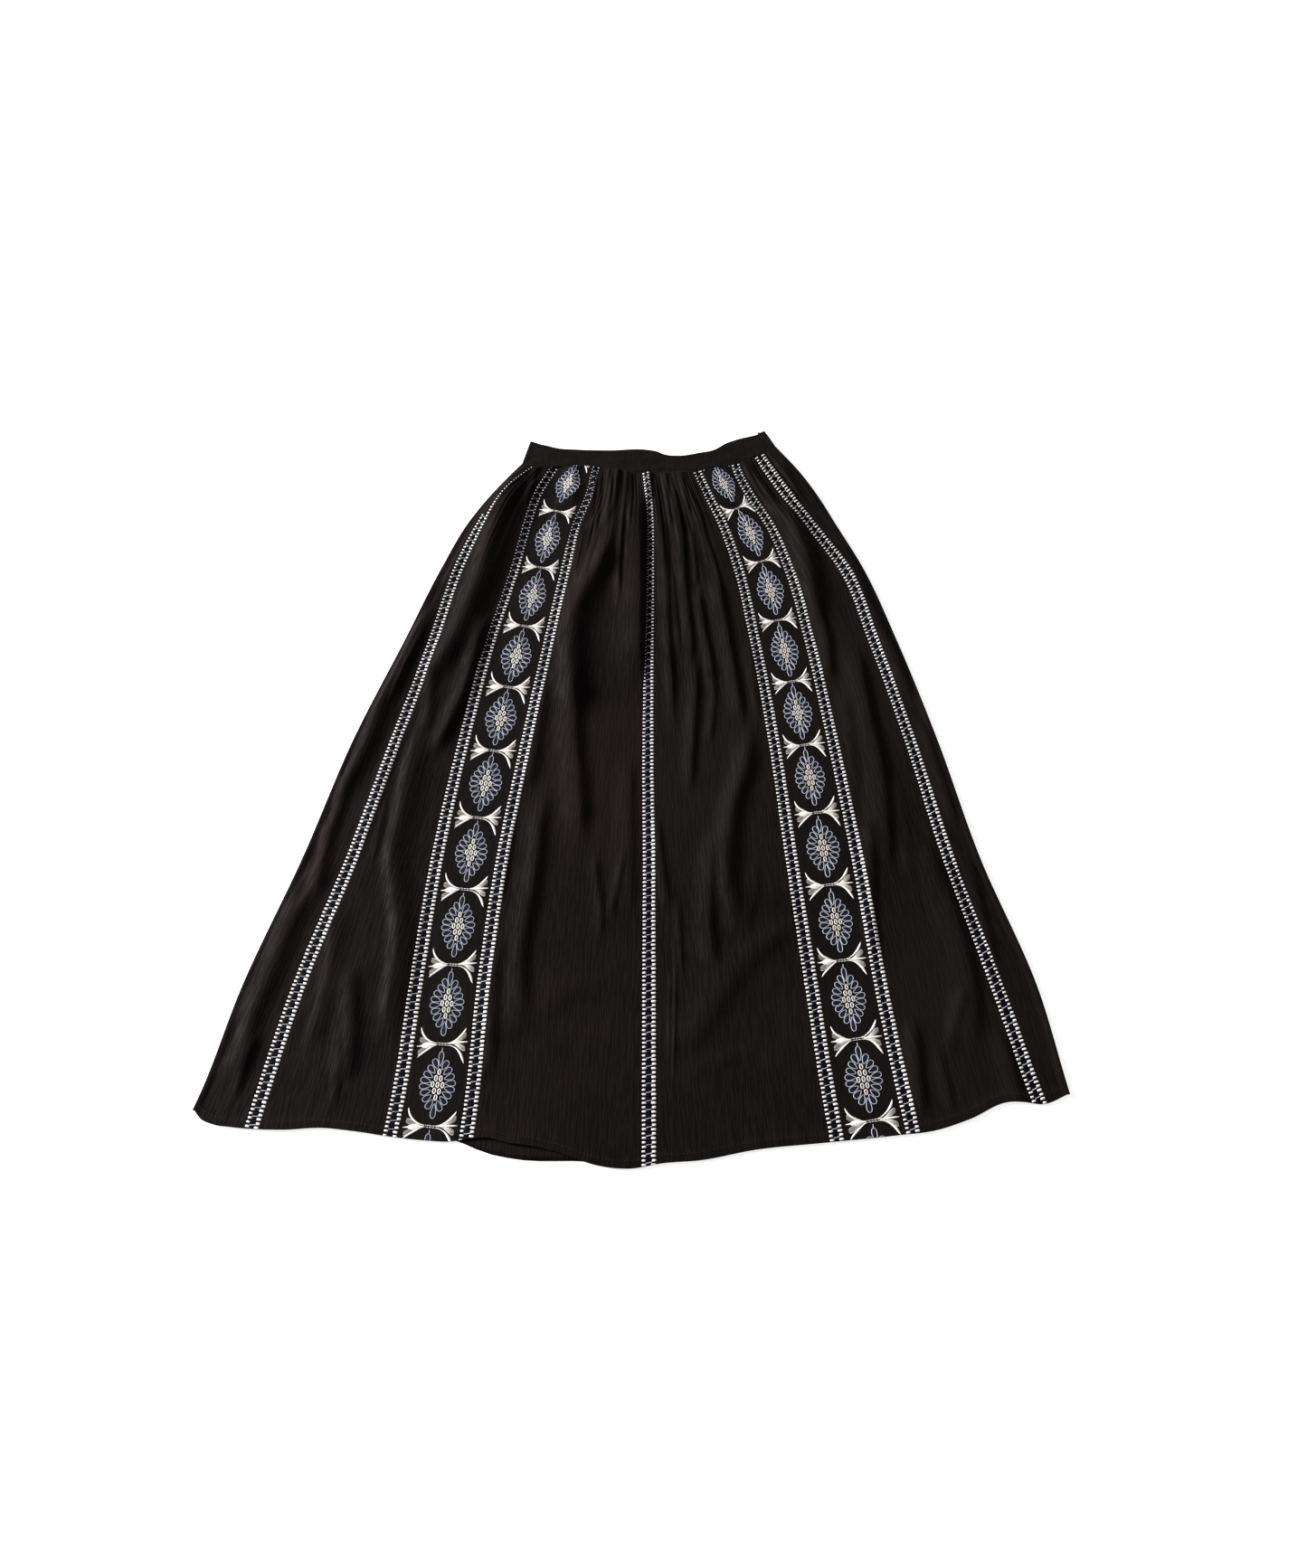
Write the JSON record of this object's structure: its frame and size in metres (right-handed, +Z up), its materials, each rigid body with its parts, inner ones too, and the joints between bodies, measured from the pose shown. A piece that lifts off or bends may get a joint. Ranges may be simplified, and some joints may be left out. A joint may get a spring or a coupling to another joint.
{
  "type": "maxi skirt",
  "caption": "Long black crinkled skirt with a gathered waist and embroidered stripes and flower bands, lying flat on its back panel.",
  "frame": {"origin": "centre of the box round the laid out skirt, on the surface that it lies on", "axes": "+X across the skirt to the right as it is looked at, +Y from the hem to the waist, +Z up off the surface"},
  "size_m": [0.9765, 0.992, 0.014],
  "materials": {
    "crinkle_cloth": "matt black viscose crinkled lengthwise",
    "band_cloth": "matt black viscose under the embroidery",
    "waistband_cloth": "smooth matt black double cloth",
    "cream_thread": "cream satin stitch thread",
    "slate_thread": "slate blue embroidery thread",
    "navy_thread": "dark navy embroidery thread"
  },
  "bodies": {
    "root": {"front_side_left": "crinkle_cloth", "front_left": "crinkle_cloth", "band_left": "band_cloth", "front_centre_left": "crinkle_cloth", "front_centre_right": "crinkle_cloth", "band_right": "band_cloth", "front_right": "crinkle_cloth", "front_side_right": "crinkle_cloth", "back_panel": "crinkle_cloth", "waistband_front": "waistband_cloth", "waistband_back": "waistband_cloth"}
  },
  "joints": []
}
